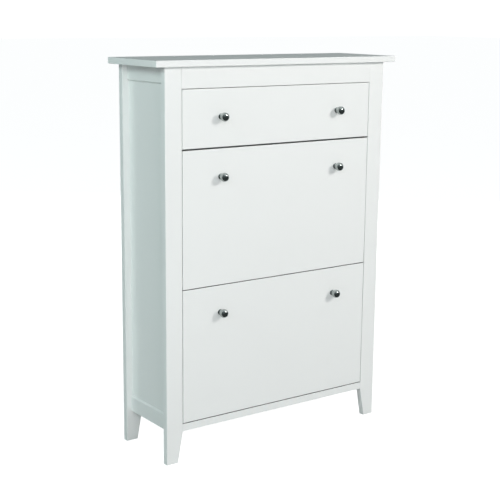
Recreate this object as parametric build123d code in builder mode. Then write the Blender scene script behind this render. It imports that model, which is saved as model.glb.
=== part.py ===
from build123d import *
from math import cos, radians, sin
import os

# Shoe cabinet: four tapered posts with rails, recessed side panels and a wide top carry one shallow
# drawer on roller runners and two tilting flaps, each with two sloping shoe trays behind it.
# X runs to the right as the cabinet is faced, the front faces -Y, Z is up. Millimetres.
# The origin is on the floor, at the middle of the box that bounds the whole cabinet.

os.makedirs("parts", exist_ok=True)

# ---- driving dimensions ----
carcase_width = 780.0        # over the outer faces of the posts
carcase_depth = 250.0        # front of the front posts to the back of the rear posts
carcase_height = 1130.0      # floor to the underside of the top
top_thickness = 18.0
top_side_overhang = 35.0
top_front_overhang = 16.0
post_width = 53.5
post_thickness = 19.0
foot_width = 36.5            # width of a post at the floor
leg_height = 92.5            # the posts taper on their inner edges below this
board_ease = 1.0             # rounding on the visible edges of boards

front_panel_thickness = 18.0
side_gap = 2.0               # beside the drawer front and the flaps
bottom_rail_top = 114.8
flap_height = 391.5
flap_gap = 2.0               # under each flap
drawer_front_bottom = 906.0
drawer_front_top = 1069.0
top_rail_bottom = 1070.5

side_rail_recess = 16.0      # from the outer face of the posts
side_rail_thickness = 17.0
side_rail_height = 48.0
side_rail_bevel = 4.0
side_panel_thickness = 12.0
divider_thickness = 18.0
divider_setback = 20.0       # divider edge behind the front of the posts
drawer_clearance = 4.0       # between the drawer front and the divider under it
middle_clearance = 3.3       # between the lower edge of the upper flap and the divider under it
bottom_thickness = 15.0
back_panel_thickness = 3.0
back_panel_lap = 8.0         # how far the back panel laps onto each rear post
back_rebate_depth = 3.8

knob_reach = 31.0            # front of a knob in front of the panel it is on
knob_radius = 12.5
knob_foot_radius = 8.5
knob_foot_height = 1.4
knob_neck_radius = 4.4
knob_shoulder_radius = 6.4   # where the neck runs into the head
knob_crown_radius = 7.6      # where the head turns over to its face
knob_offset = 208.5          # knob axis from the centre line
drawer_knob_height = 991.0
flap_knob_drop = 79.0        # knob axis below the top edge of a flap

runner_space = 12.5          # between a cleat and the side of the drawer box
runner_sheet = 1.2
roller_radius = 10.0
roller_height = 924.0        # roller axes above the floor
roller_width = 6.0
roller_ease = 0.6
roller_clearance = 0.3
axle_radius = 2.0
axle_clearance = 0.06
drawer_side_thickness = 12.0
drawer_side_height = 120.0
drawer_box_depth = 200.0
drawer_groove_depth = 4.0
drawer_travel = 145.0
cleat_depth = 210.0          # front to back, from the front posts
cleat_height = 50.0

pivot_height = 30.0          # flap pivot above the flap's bottom edge
pivot_radius = 3.0
pivot_clearance = 0.05
flap_opening = 42.0          # degrees from closed to the stop
cheek_thickness = 12.0
cheek_face = 330.0           # outer face of a cheek from the centre line
tray_slope = 52.0            # degrees that a tray falls towards the back when the flap is closed
tray_length = 200.0
tray_lip = 62.0
tray_thickness = 4.0
tray_inner_bend = 8.0
tray_outer_bend = 11.0
lower_tray_height = 150.0    # top edge of each tray above the pivot
upper_tray_height = 318.0
stop_radius = 110.0          # stop peg's distance from the pivot
stop_angle = 57.0            # degrees behind upright, flap closed
peg_radius = 4.0

# ---- places worked out from them ----
half_width = carcase_width / 2
front_face = (knob_reach - carcase_depth) / 2
back_face = front_face + carcase_depth
front_inner = front_face + post_thickness
rear_inner = back_face - post_thickness
opening = half_width - post_width
side_rail_outer = half_width - side_rail_recess
side_inner = side_rail_outer - side_rail_thickness
panel_half = opening - side_gap
panel_back = front_face + front_panel_thickness
divider_front = front_face + divider_setback
back_panel_front = back_face - back_rebate_depth
bottom_low = bottom_rail_top - bottom_thickness
flap_bottoms = {"lower": bottom_rail_top + flap_gap,
                "upper": bottom_rail_top + flap_height + 2 * flap_gap}
drawer_divider_bottom = drawer_front_bottom - drawer_clearance - divider_thickness
middle_divider_bottom = flap_bottoms["upper"] - middle_clearance - divider_thickness
cleat_face = opening + 1.0
drawer_side_outer = cleat_face - runner_space
pivot_y = front_face + front_panel_thickness / 2
sides = {"left": -1, "right": 1}


def span(sign, inner, outer):
    """The pair of X limits between two distances from the centre line, on one side of it."""
    return (inner, outer) if sign > 0 else (-outer, -inner)


def save(piece, name):
    """Label a finished piece and write it to its own file."""
    piece.part.label = name
    export_step(piece.part, f"parts/{name}.step")


def board(x, y, z, round_along=None, radius=board_ease, cut=()):
    """A board between pairs of limits, its edges along one axis eased, with other pieces cut out."""
    with BuildPart() as piece:
        with BuildSketch(Plane.XY.offset(z[0])):
            with Locations(((x[0] + x[1]) / 2, (y[0] + y[1]) / 2)):
                Rectangle(x[1] - x[0], y[1] - y[0])
        extrude(amount=z[1] - z[0])
        if round_along:
            fillet(piece.edges().filter_by(round_along), radius)
        for other in cut:
            add(other.part, mode=Mode.SUBTRACT)
    return piece


def rods(places, radius, length):
    """Separate round rods, each from a starting point along a direction."""
    with BuildPart() as piece:
        for start, along in places:
            with BuildSketch(Plane(origin=start, z_dir=along)):
                Circle(radius)
            extrude(amount=length)
    return piece


# ---- hidden fixings, made first so that the boards can be bored for them ----
dowel_radius = 4.0
dowel_length = 30.0
dowel_in_post = 12.0
dowel_in_panel = 8.0
panel_dowel_heights = (300.0, 640.0, 940.0)
shelf_dowel_setbacks = (65.0, 190.0)
top_rail_dowel_drops = (15.0, 45.0)
rail_z = {"upper": (carcase_height - side_rail_height, carcase_height),
          "lower": (leg_height + 1.0, leg_height + 1.0 + side_rail_height)}
divider_bottoms = {"drawer": drawer_divider_bottom, "middle": middle_divider_bottom,
                   "bottom": bottom_low}
divider_mid = {"drawer": drawer_divider_bottom + divider_thickness / 2,
               "middle": middle_divider_bottom + divider_thickness / 2,
               "bottom": bottom_low + bottom_thickness / 2}
top_rail_mid_y = {"front": front_face + post_thickness / 2, "rear": (rear_inner + back_panel_front) / 2}


def dowel_places():
    """Where each dowel starts and the way it runs, over the whole carcase."""
    places = []
    for sign in sides.values():
        rail_x = sign * (side_inner + side_rail_thickness / 2)
        panel_x = sign * (side_inner + side_panel_thickness / 2)
        heights = [(rail_x, sum(limits) / 2) for limits in rail_z.values()]
        heights += [(panel_x, z) for z in panel_dowel_heights]
        for x, z in heights:
            places.append(((x, front_inner - dowel_in_post, z), (0, 1, 0)))
            places.append(((x, rear_inner + dowel_in_post, z), (0, -1, 0)))
        for z in divider_mid.values():
            for y in (front_face + setback for setback in shelf_dowel_setbacks):
                places.append(((sign * (side_inner + dowel_in_panel), y, z), (-sign, 0, 0)))
        for y in top_rail_mid_y.values():
            places.append(((sign * (half_width - post_width / 2), y, carcase_height + dowel_in_post),
                           (0, 0, -1)))
            for drop in top_rail_dowel_drops:
                places.append(((sign * (opening + dowel_in_post), y, carcase_height - drop), (-sign, 0, 0)))
        bottom_rail_z = (leg_height + bottom_rail_top) / 2
        places.append(((sign * (opening + dowel_in_post), top_rail_mid_y["front"], bottom_rail_z),
                       (-sign, 0, 0)))
    return places


carcase_dowels = rods(dowel_places(), dowel_radius, dowel_length)
save(carcase_dowels, "carcase_dowels")

# Cam fittings: a cam let into a board, and the steel bolt that it draws up.
cam_radius = 7.5
cam_height = 13.0
cam_setback = 24.0
cam_bolt_radius = 3.0
cam_bolt_bite = 9.0
shelf_cam_setbacks = (100.0, 155.0)
top_cam_offset = 200.0         # from the centre line
with BuildPart() as cam_fittings:
    for sign in sides.values():
        for name, z in divider_bottoms.items():
            for y in (front_face + setback for setback in shelf_cam_setbacks):
                cam_x = sign * (side_inner - cam_setback)
                with BuildSketch(Plane.XY.offset(z)):
                    with Locations((cam_x, y)):
                        Circle(cam_radius)
                extrude(amount=cam_height)
                with BuildSketch(Plane(origin=(cam_x, y, divider_mid[name]), z_dir=(sign, 0, 0))):
                    Circle(cam_bolt_radius)
                extrude(amount=cam_setback + cam_bolt_bite)
        for name, y, along in (("front", front_inner, -1), ("rear", rear_inner, 1)):
            cam = (sign * top_cam_offset, y, carcase_height - cam_setback)
            with BuildSketch(Plane(origin=cam, z_dir=(0, along, 0))):
                Circle(cam_radius)
            extrude(amount=cam_height)
            with BuildSketch(Plane(origin=(cam[0], top_rail_mid_y[name], cam[2]), z_dir=(0, 0, 1))):
                Circle(cam_bolt_radius)
            extrude(amount=cam_setback + cam_bolt_bite)
save(cam_fittings, "cam_fittings")

fixings = (carcase_dowels, cam_fittings)

# ---- carcase ----
back_panel = board((-opening - back_panel_lap, opening + back_panel_lap),
                   (back_panel_front, back_panel_front + back_panel_thickness),
                   (bottom_low, carcase_height))
back_rebate = board((-opening - back_panel_lap, opening + back_panel_lap),
                    (back_panel_front, back_face + board_ease), (bottom_low, carcase_height))

# Nails through the back panel, into the posts, the top rail and the edges of the boards.
nail_radius = 0.7
nail_length = 14.0
nail_head_radius = 1.9
nail_head_height = 0.6
nail_y = back_panel_front + back_panel_thickness
nail_columns = [sign * (opening + back_panel_lap / 2) for sign in sides.values()]
nail_rows = [*divider_mid.values(), carcase_height - 12.0]
post_nail_start = 150.0
post_nail_pitch = 135.0
post_nail_count = 7
shelf_nail_pitch = 180.0
shelf_nail_count = 4
with BuildPart() as back_nails:
    spots = [(x, post_nail_start + post_nail_pitch * step)
             for x in nail_columns for step in range(post_nail_count)]
    spots += [((step - (shelf_nail_count - 1) / 2) * shelf_nail_pitch, z)
              for step in range(shelf_nail_count) for z in nail_rows]
    for x, z in spots:
        with BuildSketch(Plane(origin=(x, nail_y + nail_head_height, z), z_dir=(0, -1, 0))):
            Circle(nail_head_radius)
        extrude(amount=nail_head_height)
        with BuildSketch(Plane(origin=(x, nail_y, z), z_dir=(0, -1, 0))):
            Circle(nail_radius)
        extrude(amount=nail_length)
save(back_nails, "back_nails")
with BuildPart() as nailed_back:
    add(back_panel.part)
    add(back_nails.part, mode=Mode.SUBTRACT)
save(nailed_back, "back_panel")

top_ease = 1.5
with BuildPart() as top_panel:
    with BuildSketch(Plane.XY.offset(carcase_height)):
        with Locations((0, (back_face + front_face - top_front_overhang) / 2)):
            Rectangle(carcase_width + 2 * top_side_overhang, carcase_depth + top_front_overhang)
    extrude(amount=top_thickness)
    fillet(top_panel.edges(), top_ease)
    for other in fixings:
        add(other.part, mode=Mode.SUBTRACT)
save(top_panel, "top_panel")


# Flap pivots: a steel pin in the edge of each front post, in line with a bush in the flap's edge.
pin_length = 30.0
pin_in_post = 15.0
pivot_levels = {name: bottom + pivot_height for name, bottom in flap_bottoms.items()}
pivot_pins = rods([((sign * (opening + pin_in_post), pivot_y, z), (-sign, 0, 0))
                   for sign in sides.values() for z in pivot_levels.values()], pivot_radius, pin_length)
save(pivot_pins, "pivot_pins")


def post(sign, y):
    """A post between two Y limits, tapered on its inner edge down to the foot."""
    with BuildPart() as piece:
        with BuildSketch(Plane.XZ.offset(-y[1])):
            with BuildLine():
                Polyline((sign * half_width, 0), (sign * half_width, carcase_height),
                         (sign * opening, carcase_height), (sign * opening, leg_height),
                         (sign * (half_width - foot_width), 0), close=True)
            make_face()
        extrude(amount=y[1] - y[0])
        fillet(piece.faces().filter_by(Axis.Y).edges().filter_by(Axis.Z), board_ease)
        for other in (*fixings, back_rebate, back_nails, pivot_pins):
            add(other.part, mode=Mode.SUBTRACT)
    return piece


for side, sign in sides.items():
    save(post(sign, (front_face, front_inner)), f"front_post_{side}")
    save(post(sign, (rear_inner, back_face)), f"rear_post_{side}")

save(board((-opening, opening), (front_face, front_inner), (top_rail_bottom, carcase_height),
           Axis.X, cut=fixings), "front_top_rail")
save(board((-opening, opening), (front_face, front_inner), (leg_height, bottom_rail_top),
           Axis.X, cut=fixings), "front_bottom_rail")
save(board((-opening, opening), (rear_inner, back_panel_front), (top_rail_bottom, carcase_height),
           cut=(*fixings, back_nails)), "rear_top_rail")

for side, sign in sides.items():
    for level, limits in rail_z.items():
        with BuildPart() as rail:
            with BuildSketch(Plane.XZ.offset(-rear_inner)):
                with Locations((sign * (side_inner + side_rail_thickness / 2), sum(limits) / 2)):
                    Rectangle(side_rail_thickness, side_rail_height)
            extrude(amount=rear_inner - front_inner)
            outer = rail.edges().filter_by(Axis.Y).group_by(Axis.X)[-1 if sign > 0 else 0]
            chamfer(outer.sort_by(Axis.Z)[-1 if level == "lower" else 0], side_rail_bevel)
            for other in fixings:
                add(other.part, mode=Mode.SUBTRACT)
        save(rail, f"{level}_side_rail_{side}")

# Screws: cleats to side panels, runners to cleats, stop guides to side panels.
guide_thickness = 6.0
guide_inner_radius = 98.0
guide_outer_radius = 134.0
guide_screw_radius = 126.0
guide_from = 8.0               # degrees behind upright
guide_to = 64.0
guide_screw_angles = (20.0, 52.0)
screw_radius = 1.75
screw_length = 9.0
screw_head_radius = 3.4
screw_head_height = 1.6
runner_screw_length = 14.0
runner_screw_y = (front_face + 70.0, front_face + 160.0)
cleat_screw_y = (front_face + 45.0, front_face + 205.0)
cleat_screw_height = roller_height + 19.0
with BuildPart() as carcase_screws:
    for sign in sides.values():
        spots = [((sign * (side_inner - guide_thickness), pivot_y + guide_screw_radius * sin(radians(angle)),
                   level + guide_screw_radius * cos(radians(angle))), screw_length + guide_thickness)
                 for level in pivot_levels.values() for angle in guide_screw_angles]
        spots += [((sign * (cleat_face - runner_sheet), y, roller_height), runner_screw_length)
                  for y in runner_screw_y]
        spots += [((sign * cleat_face, y, cleat_screw_height), side_inner - cleat_face + screw_length)
                  for y in cleat_screw_y]
        for start, length in spots:
            with BuildSketch(Plane(origin=start, z_dir=(sign, 0, 0))):
                Circle(screw_head_radius)
            extrude(amount=screw_head_height)
            with BuildSketch(Plane(origin=start, z_dir=(sign, 0, 0))):
                Circle(screw_radius)
            extrude(amount=length)
save(carcase_screws, "carcase_screws")

for side, sign in sides.items():
    save(board(span(sign, side_inner, side_inner + side_panel_thickness), (front_inner, rear_inner),
               (rail_z["lower"][1], rail_z["upper"][0]), cut=(*fixings, carcase_screws)),
         f"side_panel_{side}")


def shelf(bottom, thickness, front):
    """A board across the cabinet that reaches between the rear posts to the back panel."""
    with BuildPart() as piece:
        with BuildSketch(Plane.XY.offset(bottom)):
            with BuildLine():
                Polyline((-side_inner, front), (side_inner, front), (side_inner, rear_inner),
                         (opening, rear_inner), (opening, back_panel_front), (-opening, back_panel_front),
                         (-opening, rear_inner), (-side_inner, rear_inner), close=True)
            make_face()
        extrude(amount=thickness)
        for other in (*fixings, back_nails):
            add(other.part, mode=Mode.SUBTRACT)
    return piece


save(shelf(bottom_low, bottom_thickness, front_inner), "bottom_panel")
save(shelf(middle_divider_bottom, divider_thickness, divider_front), "middle_divider")
save(shelf(drawer_divider_bottom, divider_thickness, divider_front), "drawer_divider")

# Rubber discs on the divider edges: the closed flaps rest on them.
bumper_radius = 5.0
bumper_offset = 295.0          # from the centre line
flap_bumpers = rods([((sign * bumper_offset, divider_front, divider_mid[name]), (0, -1, 0))
                     for sign in sides.values() for name in ("middle", "drawer")],
                    bumper_radius, divider_front - panel_back)
save(flap_bumpers, "flap_bumpers")

# Stop guides: curved slots on the side panels, in which the pegs of the flaps run.
slot_clearance = 0.3
with BuildPart() as stop_guides:
    for sign in sides.values():
        for level in pivot_levels.values():
            start = side_inner - guide_thickness if sign > 0 else -side_inner
            with BuildSketch(Plane(origin=(start, pivot_y, level), x_dir=(0, 1, 0), z_dir=(1, 0, 0))):
                with BuildLine():
                    outer = CenterArc((0, 0), guide_outer_radius, 90 - guide_to, guide_to - guide_from)
                    inner = CenterArc((0, 0), guide_inner_radius, 90 - guide_to, guide_to - guide_from)
                    Line(outer @ 0, inner @ 0)
                    Line(outer @ 1, inner @ 1)
                make_face()
                with BuildLine(mode=Mode.PRIVATE):
                    path = CenterArc((0, 0), stop_radius, 90 - stop_angle, flap_opening, mode=Mode.PRIVATE)
                SlotArc(path, 2 * (peg_radius + slot_clearance), mode=Mode.SUBTRACT)
            extrude(amount=guide_thickness)
    add(carcase_screws.part, mode=Mode.SUBTRACT)
save(stop_guides, "stop_guides")

# ---- drawer runners ----
cleat_low = drawer_divider_bottom + divider_thickness
cleat_y = (front_inner, front_inner + cleat_depth)
cleat_z = (cleat_low, cleat_low + cleat_height)
for side, sign in sides.items():
    save(board(span(sign, cleat_face, side_inner), cleat_y, cleat_z, cut=(carcase_screws,)),
         f"runner_cleat_{side}")

channel_depth = 10.0
channel_lip_clearance = 0.7    # between the drawer's flange and the channel's upper lip
channel_low = roller_height - roller_radius - roller_clearance
flange_low = roller_height + roller_radius + roller_clearance
channel_high = flange_low + runner_sheet + channel_lip_clearance
channel_y = (front_face + 21.0, front_face + 227.0)
front_roller_y = front_face + 33.0
rear_roller_y = front_face + 204.0
front_roller_start = 2.0       # from the cleat's face
rear_roller_start = 4.2
roller_end_play = 0.3
rivet_head = 0.8
rivet_head_radius = 3.3


def channel_point(sign, reach):
    """The X of a point at a distance from the cleat's face towards the drawer."""
    return sign * (cleat_face - reach)


for side, sign in sides.items():
    with BuildPart() as channel:
        with BuildSketch(Plane.XZ.offset(-channel_y[1])):
            with BuildLine():
                Polyline((channel_point(sign, 0), channel_low - runner_sheet),
                         (channel_point(sign, channel_depth), channel_low - runner_sheet),
                         (channel_point(sign, channel_depth), channel_low),
                         (channel_point(sign, runner_sheet), channel_low),
                         (channel_point(sign, runner_sheet), channel_high),
                         (channel_point(sign, channel_depth), channel_high),
                         (channel_point(sign, channel_depth), channel_high + runner_sheet),
                         (channel_point(sign, 0), channel_high + runner_sheet), close=True)
            make_face()
        extrude(amount=channel_y[1] - channel_y[0])
        add(carcase_screws.part, mode=Mode.SUBTRACT)
        axle = (channel_point(sign, runner_sheet), front_roller_y, roller_height)
        with BuildSketch(Plane(origin=axle, z_dir=(-sign, 0, 0))):
            Circle(axle_radius)
        head_start = front_roller_start + roller_width + roller_end_play
        extrude(amount=head_start - runner_sheet)
        head = (channel_point(sign, head_start), front_roller_y, roller_height)
        with BuildSketch(Plane(origin=head, z_dir=(-sign, 0, 0))):
            Circle(rivet_head_radius)
        extrude(amount=rivet_head)
    save(channel, f"cabinet_runner_{side}")


def roller(sign, start, y):
    """A nylon roller with a bore and eased rims."""
    origin = (channel_point(sign, start), y, roller_height)
    with BuildPart() as piece:
        with BuildSketch(Plane(origin=origin, z_dir=(-sign, 0, 0))):
            Circle(roller_radius)
            Circle(axle_radius + axle_clearance, mode=Mode.SUBTRACT)
        extrude(amount=roller_width)
        fillet(piece.edges().filter_by(GeomType.CIRCLE).group_by(SortBy.RADIUS)[-1], roller_ease)
    return piece


for side, sign in sides.items():
    save(roller(sign, front_roller_start, front_roller_y), f"front_roller_{side}")
    save(roller(sign, rear_roller_start, rear_roller_y), f"rear_roller_{side}")

# ---- drawer ----
drawer_side_low = channel_low + runner_sheet
drawer_side_z = (drawer_side_low, drawer_side_low + drawer_side_height)
drawer_inner = drawer_side_outer - drawer_side_thickness
drawer_box_y = (panel_back, panel_back + drawer_box_depth)
drawer_bottom_rise = 10.0      # underside of the bottom above the lower edges of the sides
drawer_bottom_thickness = 3.2
drawer_bottom_z = (drawer_side_low + drawer_bottom_rise,
                   drawer_side_low + drawer_bottom_rise + drawer_bottom_thickness)
drawer_ease = 1.5
drawer_front_bite = 6.0
knob_screw_radius = 2.0
knob_screw_bite = 9.0
knob_screw_head_radius = 4.0
knob_screw_head_height = 1.8


def knob_set(height):
    """Two turned knobs: a flared foot, a short neck and a flattened ball."""
    with BuildPart() as piece:
        for sign in sides.values():
            axis = Axis((sign * knob_offset, front_face, height), (0, 1, 0))
            foot = (knob_foot_radius, -knob_foot_height)
            shoulder = (knob_shoulder_radius, -13.0)
            with BuildSketch(Plane(origin=axis.position, x_dir=(1, 0, 0), z_dir=(0, 0, 1))):
                with BuildLine():
                    Polyline((0, -knob_reach), (0, 0), (knob_foot_radius, 0), foot)
                    Spline(foot, (5.2, -4.4), (knob_neck_radius, -9.0), shoulder,
                           tangents=[(-1, -0.6), (1, -0.5)])
                    Spline(shoulder, (knob_radius, -21.0), (knob_crown_radius, -28.8), (0, -knob_reach),
                           tangents=[(1, -0.5), (-1, 0)])
                make_face()
            revolve(axis=axis)
    return piece


def knob_screw_set(height):
    """The screws that hold a pair of knobs from behind their panel."""
    with BuildPart() as piece:
        for sign in sides.values():
            at = (sign * knob_offset, panel_back + knob_screw_head_height, height)
            with BuildSketch(Plane(origin=at, z_dir=(0, -1, 0))):
                Circle(knob_screw_head_radius)
            extrude(amount=knob_screw_head_height)
            with BuildSketch(Plane(origin=at, z_dir=(0, -1, 0))):
                Circle(knob_screw_radius)
            extrude(amount=knob_screw_head_height + front_panel_thickness + knob_screw_bite)
    return piece


def bored(piece, *others):
    """A piece with others cut out of it."""
    with BuildPart() as result:
        add(piece.part)
        for other in others:
            add(other.part, mode=Mode.SUBTRACT)
    return result


drawer_runner_screws = [((sign * (drawer_side_outer + runner_sheet), y, roller_height), (-sign, 0, 0))
                        for sign in sides.values() for y in runner_screw_y]
with BuildPart() as drawer_screws:
    add(knob_screw_set(drawer_knob_height).part)
    for start, along in drawer_runner_screws:
        with BuildSketch(Plane(origin=start, z_dir=along)):
            Circle(screw_head_radius)
        extrude(amount=screw_head_height)
        with BuildSketch(Plane(origin=start, z_dir=along)):
            Circle(screw_radius)
        extrude(amount=screw_length)
save(drawer_screws, "drawer_screws")
save(bored(knob_set(drawer_knob_height), drawer_screws), "drawer_knobs")

drawer_bottom = board((-drawer_inner - drawer_groove_depth, drawer_inner + drawer_groove_depth),
                      (panel_back - drawer_front_bite, drawer_box_y[1]), drawer_bottom_z)
save(drawer_bottom, "drawer_bottom")
with BuildPart() as drawer_front:
    with BuildSketch(Plane.XZ.offset(-panel_back)):
        with Locations((0, (drawer_front_bottom + drawer_front_top) / 2)):
            Rectangle(2 * panel_half, drawer_front_top - drawer_front_bottom)
    extrude(amount=front_panel_thickness)
    fillet(drawer_front.faces().sort_by(Axis.Y)[0].edges(), board_ease)
    for other in (drawer_bottom, drawer_screws):
        add(other.part, mode=Mode.SUBTRACT)
save(drawer_front, "drawer_front")
for side, sign in sides.items():
    save(board(span(sign, drawer_inner, drawer_side_outer), drawer_box_y, drawer_side_z,
               Axis.Y, drawer_ease, cut=(drawer_bottom, drawer_screws)), f"drawer_side_{side}")
save(board((-drawer_inner, drawer_inner), (drawer_box_y[1] - drawer_side_thickness, drawer_box_y[1]),
           (drawer_bottom_z[1], drawer_side_z[1])), "drawer_back")

drawer_runner_start = panel_back + 2.0
drawer_runner_y = (drawer_runner_start, rear_roller_y + 11.0)
flange_y = (drawer_runner_start, rear_roller_y - 12.0)
flange_reach = 2.6             # the running flange stops this far from the cleat's face
for side, sign in sides.items():
    with BuildPart() as angle:
        with BuildSketch(Plane.XZ.offset(-drawer_runner_y[1])):
            with BuildLine():
                Polyline((sign * (drawer_side_outer + runner_sheet), channel_low),
                         (sign * (drawer_side_outer + runner_sheet), flange_low + runner_sheet),
                         (sign * drawer_side_outer, flange_low + runner_sheet),
                         (sign * drawer_side_outer, channel_low + runner_sheet),
                         (sign * drawer_inner, channel_low + runner_sheet),
                         (sign * drawer_inner, channel_low), close=True)
            make_face()
        extrude(amount=drawer_runner_y[1] - drawer_runner_y[0])
        flange_x = span(sign, drawer_side_outer, cleat_face - flange_reach)
        with BuildSketch(Plane.XY.offset(flange_low)):
            with Locations((sum(flange_x) / 2, sum(flange_y) / 2)):
                Rectangle(flange_x[1] - flange_x[0], flange_y[1] - flange_y[0])
        extrude(amount=runner_sheet)
        add(drawer_screws.part, mode=Mode.SUBTRACT)
        axle_reach = runner_space - runner_sheet - rear_roller_start + roller_end_play
        axle = (sign * (drawer_side_outer + runner_sheet), rear_roller_y, roller_height)
        with BuildSketch(Plane(origin=axle, z_dir=(sign, 0, 0))):
            Circle(axle_radius)
        extrude(amount=axle_reach)
        head = (sign * (drawer_side_outer + runner_sheet + axle_reach), rear_roller_y, roller_height)
        with BuildSketch(Plane(origin=head, z_dir=(sign, 0, 0))):
            Circle(rivet_head_radius)
        extrude(amount=rivet_head)
    save(angle, f"drawer_runner_{side}")


# ---- flaps ----
bush_radius = 5.0
bush_length = 16.0
bush_flange_radius = 7.0
bush_flange = 1.0
peg_tip = side_inner - 2.5
peg_in_cheek = 9.0
tray_gap = 2.0                 # between a tray's top edge and the flap panel
tray_bite = 5.0                # how far a tray enters each cheek
pivot_to_back = panel_back - pivot_y
cheek_rounding = 10.0


def tray(pivot_z, top_edge):
    """A moulded tray: a floor that falls to the back and a lip at right angles to it."""
    floor_y, floor_z = cos(radians(tray_slope)), -sin(radians(tray_slope))
    lip_y, lip_z = sin(radians(tray_slope)), cos(radians(tray_slope))
    start = (pivot_to_back + tray_gap + tray_thickness, top_edge)
    heel = (start[0] + tray_length * floor_y, start[1] + tray_length * floor_z)
    tip = (heel[0] + tray_lip * lip_y, heel[1] + tray_lip * lip_z)
    outer_heel = (heel[0] + tray_thickness * (floor_y - lip_y), heel[1] + tray_thickness * (floor_z - lip_z))
    half_length = cheek_face - cheek_thickness + tray_bite
    with BuildPart() as piece:
        with BuildSketch(Plane(origin=(-half_length, pivot_y, pivot_z), x_dir=(0, 1, 0), z_dir=(1, 0, 0))):
            with BuildLine():
                Polyline(start, heel, tip,
                         (tip[0] + tray_thickness * floor_y, tip[1] + tray_thickness * floor_z), outer_heel,
                         (start[0] - tray_thickness * lip_y, start[1] - tray_thickness * lip_z), close=True)
            make_face()
        extrude(amount=2 * half_length)
        for (y, z), bend in ((heel, tray_inner_bend), (outer_heel, tray_outer_bend)):
            corners = piece.edges().filter_by(Axis.X)
            fillet(corners.sort_by_distance((0, pivot_y + y, pivot_z + z))[0], bend)
    return piece


for name, bottom in flap_bottoms.items():
    pivot_z = bottom + pivot_height
    knob_z = bottom + flap_height - flap_knob_drop
    screws = knob_screw_set(knob_z)
    save(screws, f"{name}_flap_screws")
    save(bored(knob_set(knob_z), screws), f"{name}_flap_knobs")

    with BuildPart() as bushes:
        for sign in sides.values():
            with BuildSketch(Plane(origin=(sign * panel_half, pivot_y, pivot_z), z_dir=(-sign, 0, 0))):
                Circle(bush_radius)
            extrude(amount=bush_length)
            with BuildSketch(Plane(origin=(sign * panel_half, pivot_y, pivot_z), z_dir=(sign, 0, 0))):
                Circle(bush_flange_radius)
            extrude(amount=bush_flange)
            with BuildSketch(Plane(origin=(sign * (panel_half + bush_flange), pivot_y, pivot_z),
                                   z_dir=(-sign, 0, 0))):
                Circle(pivot_radius + pivot_clearance)
            extrude(amount=bush_length, mode=Mode.SUBTRACT)
    save(bushes, f"{name}_flap_bushes")

    with BuildPart() as panel:
        with BuildSketch(Plane.XZ.offset(-panel_back)):
            with Locations((0, bottom + flap_height / 2)):
                Rectangle(2 * panel_half, flap_height)
        extrude(amount=front_panel_thickness)
        fillet(panel.faces().sort_by(Axis.Y)[0].edges(), board_ease)
        for sign in sides.values():
            with BuildSketch(Plane(origin=(sign * panel_half, pivot_y, pivot_z), z_dir=(-sign, 0, 0))):
                Circle(bush_radius)
            extrude(amount=bush_length, mode=Mode.SUBTRACT)
        add(screws.part, mode=Mode.SUBTRACT)
    save(panel, f"{name}_flap_panel")

    trays = {"lower": tray(pivot_z, lower_tray_height), "upper": tray(pivot_z, upper_tray_height)}
    for level, piece in trays.items():
        save(piece, f"{name}_flap_{level}_tray")

    peg_y = pivot_y + stop_radius * sin(radians(stop_angle))
    peg_z = pivot_z + stop_radius * cos(radians(stop_angle))
    peg_start = cheek_face - peg_in_cheek
    pegs = rods([((sign * peg_start, peg_y, peg_z), (sign, 0, 0)) for sign in sides.values()],
                peg_radius, peg_tip - peg_start)
    save(pegs, f"{name}_flap_stop_pegs")

    for side, sign in sides.items():
        start = cheek_face - cheek_thickness if sign > 0 else -cheek_face
        with BuildPart() as cheek:
            with BuildSketch(Plane(origin=(start, pivot_y, pivot_z), x_dir=(0, 1, 0), z_dir=(1, 0, 0))):
                with BuildLine():
                    Polyline((pivot_to_back, -8.0), (122.0, -23.0), (150.0, -23.0), (198.0, 20.0),
                             (200.0, 212.0), (34.0, 334.0), (pivot_to_back, 334.0), close=True)
                make_face()
            extrude(amount=cheek_thickness)
            rear_edges = cheek.edges().filter_by(Axis.X).group_by(Axis.Y)[1:]
            fillet([edge for group in rear_edges for edge in group], cheek_rounding)
            for other in (*trays.values(), pegs):
                add(other.part, mode=Mode.SUBTRACT)
        save(cheek, f"{name}_flap_cheek_{side}")
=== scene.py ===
from math import cos, pi, radians, sin, sqrt

import bmesh
import bpy
from mathutils import Matrix, Vector


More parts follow.
